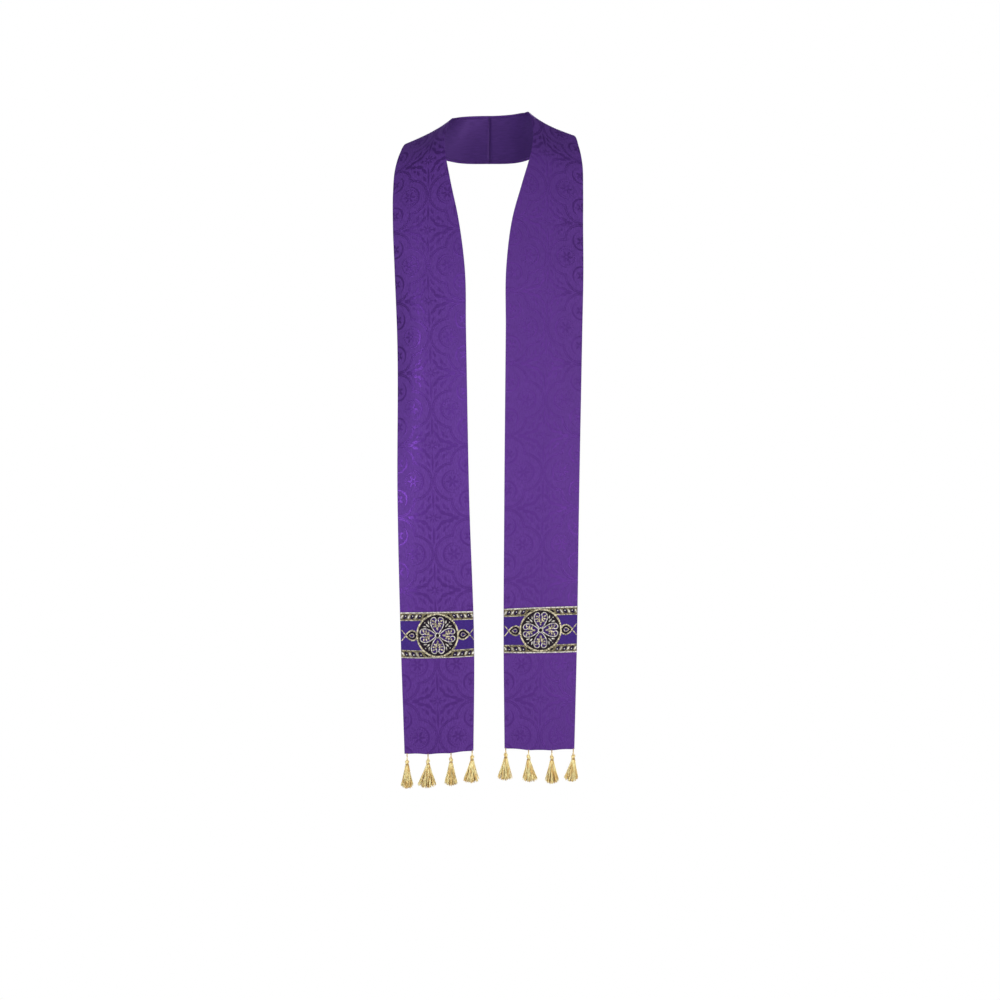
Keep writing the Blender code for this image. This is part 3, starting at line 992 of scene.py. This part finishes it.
WINDING_TURNS, WINDING_STEPS, WINDING_RADIUS, WINDING_INSET = 3.1, 84, 1.5, 0.9
BINDING_REACH, BINDING_RADIUS, BINDING_STEPS = 2.8, 0.65, 24
SKIRT_FLATNESS = 0.70  # of its foot, front to back
LOCKS, LOCK_PULL = 9, 0.09  # that the strands gather in, and radians that they are drawn by
OUTER_RINGS = ((38, 1.0), (30, 0.86))  # of strands: how many, and the part of the width
INNER_RINGS = ((30, 0.70), (24, 0.52), (16, 0.32), (6, 0.12))
STRAND_RADIUS = 0.56  # mm
STRAND_POINTS = 15


def make_rayon(name, dark, light):
    finish = Finish(name, light, 0.32, 0.0, 0.8)
    strand = finish.noise(330.0, (1.0, 1.0, 0.12))
    fibre = finish.noise(1500.0, (1.0, 1.0, 0.25))
    tone = strand.fade(0.36, 0.60) * 0.8 + fibre.fade(0.3, 0.7) * 0.2
    finish.set("Base Color", finish.mix(tone, dark, light))
    finish.set("Sheen Weight", 0.45)
    finish.set("Sheen Tint", (1.0, 0.9, 0.65))
    finish.bump(fibre + strand * 0.5, 0.00022)
    return finish.material


def run_thread(curve, centres, radii):
    """One thread of the curve through the centres; both in millimetres."""
    thread = curve.splines.new("POLY")
    thread.points.add(len(centres) - 1)
    for point, centre, radius in zip(thread.points, centres, radii):
        point.co = (*(Vector(centre) * MM), 1.0)
        point.radius = radius
    thread.use_smooth = True


def twist_cord(curve, tassel, steps):
    """Two plies twist down from the hem and part into the loop that carries the head."""
    length = tassel.cord + CORD_IN_HEM + CORD_IN_HEAD
    for ply in (1, -1):
        centres = []
        for k in steps:
            part = k / CORD_STEPS
            turn = part * CORD_TWISTS * math.tau
            spread = max(0.0, (part - LOOP_START) / (1 - LOOP_START))
            twist = PLY_OFFSET * (1 - min(1.0, spread * 2.5))
            x = twist * math.cos(turn) + LOOP_REACH * spread ** 1.1
            centres.append((ply * x, ply * twist * math.sin(turn), CORD_IN_HEM - length * part))
        run_thread(curve, centres, [PLY_RADIUS] * len(centres))


def wind_head(curve, tassel):
    """Thread wound slantwise round an egg."""
    centres, radii = [], []
    for k in range(WINDING_STEPS + 1):
        part = k / WINDING_STEPS
        depth = tassel.cord + WINDING_INSET + (WINDING_HEIGHT - 2 * WINDING_INSET) * part
        profile = math.sin(math.pi * (0.14 + 0.72 * part))
        turn = part * WINDING_TURNS * math.tau
        reach = (KNOB_RADIUS - 1.4) * profile ** 0.6
        slant = tassel.slant * math.cos(turn) * profile
        centres.append((reach * math.cos(turn), reach * math.sin(turn), -depth + slant))
        radii.append(WINDING_RADIUS * min(1.0, 0.35 + 6 * min(part, 1 - part)))
    run_thread(curve, centres, radii)


def bind_waist(curve, tassel):
    """Two close turns of thread under the head."""
    centres = []
    for k in range(BINDING_STEPS + 1):
        part, turn = k / BINDING_STEPS, k / 6 * math.pi
        depth = tassel.cord + WINDING_HEIGHT + 2.2 * part
        centres.append((BINDING_REACH * math.cos(turn), BINDING_REACH * math.sin(turn), -depth))
    run_thread(curve, centres, [BINDING_RADIUS] * len(centres))


def hang_strands(curve, tassel, rings, chance):
    """Strands in rings, which start at the waist and gather in locks as they spread."""
    top = tassel.cord + WINDING_HEIGHT + WAIST_HEIGHT
    clump = chance.uniform(0, math.tau)
    for count, share in rings:
        for index in range(count):
            turn = math.tau * (index + chance.uniform(-0.3, 0.3)) / count
            turn += LOCK_PULL * math.sin(LOCKS * turn + clump)
            root = (SKIRT_TOP_RADIUS - STRAND_RADIUS) * share
            reach = (tassel.width / 2 - STRAND_RADIUS) * share * chance.uniform(0.90, 1.03)
            fall = (tassel.length - top) * chance.uniform(0.90, 1.01)
            fall *= 1 - 0.10 * (share * math.cos(turn)) ** 2
            sway, beat = chance.uniform(0.25, 0.75), chance.uniform(1.6, 3.4)
            start, spin = chance.uniform(0, math.tau), chance.uniform(-0.22, 0.22)
            centres, radii = [], []
            for k in range(STRAND_POINTS):
                part = k / (STRAND_POINTS - 1)
                radius = root + (reach - root) * part ** 1.15
                wave = sway * part ** 0.6 * math.sin(start + beat * math.tau * part)
                angle = turn + spin * part + wave / max(radius, 2.0)
                x = radius * math.cos(angle) + tassel.swing * part
                y = radius * math.sin(angle) * (1 - (1 - SKIRT_FLATNESS) * part)
                centres.append((x, y, -top - fall * part))
                radii.append(STRAND_RADIUS * (0.86 + 0.22 * math.sin(start + 9 * part)))
            radii[-1] *= 0.55
            run_thread(curve, centres, radii)


# The cord's upper part, the binding under the head and the inner strands are drawn in the darker rayon:
# painted shade.
def lay_shaded_threads(curve, tassel, chance):
    twist_cord(curve, tassel, range(SHADED_CORD_STEPS + 1))
    bind_waist(curve, tassel)
    hang_strands(curve, tassel, INNER_RINGS, chance)


def lay_bright_threads(curve, tassel, chance):
    twist_cord(curve, tassel, range(SHADED_CORD_STEPS, CORD_STEPS + 1))
    wind_head(curve, tassel)
    hang_strands(curve, tassel, OUTER_RINGS, chance)


def add_threads(work, lay, *details):
    """Add the threads that a function lays along a curve, as closed tubes."""
    curve = bpy.data.curves.new("threads", "CURVE")
    curve.dimensions = "3D"
    curve.bevel_depth = MM
    curve.bevel_resolution = 1
    curve.use_fill_caps = True
    lay(curve, *details)
    holder = bpy.data.objects.new("threads", curve)
    bpy.context.scene.collection.objects.link(holder)
    bpy.context.view_layer.update()
    evaluated = holder.evaluated_get(bpy.context.evaluated_depsgraph_get())
    work.from_mesh(bpy.data.meshes.new_from_object(evaluated))
    bpy.data.objects.remove(holder)


def make_tassel(band, across, tassel, name, materials):
    chance = random.Random(name.replace("_tassel_", ""))
    work = bmesh.new()
    add_threads(work, lay_shaded_threads, tassel, chance)
    egg = bmesh.ops.create_uvsphere(work, u_segments=20, v_segments=12, radius=MM)["verts"]
    egg_radius = KNOB_RADIUS - WINDING_INSET
    bmesh.ops.scale(work, verts=egg, vec=(egg_radius, egg_radius, WINDING_HEIGHT / 2))
    bmesh.ops.translate(work, verts=egg, vec=(0.0, 0.0, -(tassel.cord + WINDING_HEIGHT / 2) * MM))
    # These threads and the egg inside the winding take the second material, the darker rayon, as painted
    # shade.
    for face in work.faces:
        face.material_index = 1
    add_threads(work, lay_bright_threads, tassel, chance)
    origin = band.lifted(float(band.last), across, -PANEL_WALL / 2 * MM)
    bmesh.ops.translate(work, verts=work.verts, vec=origin - Vector((0.0, 0.0, SEAM_GAP * MM)))
    piece = finish_mesh(f"{name}_threads", work, materials)
    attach(piece, "root")
    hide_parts(name)


rayon = make_rayon("gold_rayon", (0.72, 0.43, 0.10), (1.0, 0.90, 0.46))
# A darker copy of the gold rayon: painted shade for the parts of a tassel that lie in shade.
shaded_rayon = make_rayon("shaded_gold_rayon", (0.34, 0.19, 0.045), (0.66, 0.41, 0.12))
for band in BANDS:
    hung = zip(TASSELS_AT[band.side], TASSELS[band.side])
    for number, (across, tassel) in enumerate(hung, 1):
        make_tassel(band, across, tassel, f"{band.side}_tassel_{number}", [rayon, shaded_rayon])

# ------------------------------------------------------------
# The studio: a white floor before an even white background, soft lamps round the stole, and the
# camera. The lamps and a faint sky light the stole; the camera sees floor and sky as plain white.
# ------------------------------------------------------------

FLOOR_HEIGHT = -1.486  # metres below the nape
FLOOR_SIZE = 30.0
WORLD_TINT, WORLD_STRENGTH = (0.94, 0.99, 1.0), 0.29
LIT_MIDDLE = (0.0, -0.2, -0.6)  # what the lamps face
# Each lamp's place in degrees round to the right of the camera and up, and in metres away; the
# metres across it, its watts, and its colour.
WHITE, WARM, WARMER = (1.0, 1.0, 1.0), (1.0, 0.98, 0.90), (1.0, 0.98, 0.88)
LAMPS = {
    "left front": (-20, -3, 1.4, 0.5, 1.5, WHITE),
    "left side": (-52, -4, 1.2, 0.5, 5.3, WHITE),
    "left above": (-38, 25, 1.3, 0.4, 1.8, WHITE),
    "right front": (15, 3, 1.6, 0.5, 2.1, WARM),
    "right side": (40, -4, 1.4, 0.3, 2.8, WARMER),
    "right edge": (80, 3, 1.6, 0.5, 5.2, WARMER),
    "right above": (25, 30, 1.6, 0.4, 2.4, WARM),
    "right below": (25, -25, 1.6, 0.4, 2.9, WARM),
    "over": (12, 58, 1.8, 0.6, 2.6, WHITE),
    "back": (175, 22, 3.2, 1.6, 32.0, WHITE),
}
CAMERA_PLACE = (0.0212, -4.465, -0.7294)
CAMERA_ANGLE = 25.58  # degrees across the frame


def place_in_scene(name, data):
    holder = bpy.data.objects.new(name, data)
    bpy.context.scene.collection.objects.link(holder)
    return holder


def add_soft_lamp(name, turn, rise, distance, size, watts, colour):
    lamp = bpy.data.lights.new(name, "AREA")
    lamp.size = size
    lamp.energy = watts
    lamp.color = colour
    holder = place_in_scene(name, lamp)
    turned = Matrix.Rotation(math.radians(turn), 3, "Z")
    toward = turned @ Matrix.Rotation(math.radians(-rise), 3, "X") @ Vector((0.0, -distance, 0.0))
    holder.location = Vector(LIT_MIDDLE) + toward
    holder.rotation_euler = (-toward).to_track_quat("-Z", "Y").to_euler()
    holder.visible_camera = False


def show(tree, lit, seen, output):
    """Light the stole with one shader and show the camera another, a plain white."""
    which_ray = tree.nodes.new("ShaderNodeLightPath")
    either = tree.nodes.new("ShaderNodeMixShader")
    tree.links.new(which_ray.outputs["Is Camera Ray"], either.inputs["Fac"])
    tree.links.new(lit, either.inputs[1])
    tree.links.new(seen, either.inputs[2])
    tree.links.new(either.outputs["Shader"], tree.nodes[output].inputs["Surface"])


floor_work = bmesh.new()
bmesh.ops.create_grid(floor_work, x_segments=1, y_segments=1, size=FLOOR_SIZE)
bmesh.ops.translate(floor_work, verts=floor_work.verts, vec=(0.0, 0.0, FLOOR_HEIGHT))
floor = Finish("studio_white", (0.92, 0.92, 0.92), 0.8, 0.0, 0.1)
seen_floor = floor.tree.nodes.new("ShaderNodeEmission")
show(floor.tree, floor.shader.outputs["BSDF"], seen_floor.outputs["Emission"], "Material Output")
finish_mesh("studio_floor", floor_work, [floor.material])

world = bpy.data.worlds.new("studio")
bpy.context.scene.world = world
world.use_nodes = True
sky = world.node_tree
seen_sky, lit_sky = sky.nodes["Background"], sky.nodes.new("ShaderNodeBackground")
feed(WHITE, seen_sky.inputs["Color"])
feed(WORLD_TINT, lit_sky.inputs["Color"])
feed(WORLD_STRENGTH, lit_sky.inputs["Strength"])
show(sky, lit_sky.outputs["Background"], seen_sky.outputs["Background"], "World Output")

for name, details in LAMPS.items():
    add_soft_lamp(name, *details)

lens = bpy.data.cameras.new("camera")
lens.angle = math.radians(CAMERA_ANGLE)
camera = place_in_scene("camera", lens)
camera.location = CAMERA_PLACE
camera.rotation_euler = (math.radians(90), 0.0, 0.0)
bpy.context.scene.camera = camera
bpy.context.scene.view_settings.view_transform = "Standard"
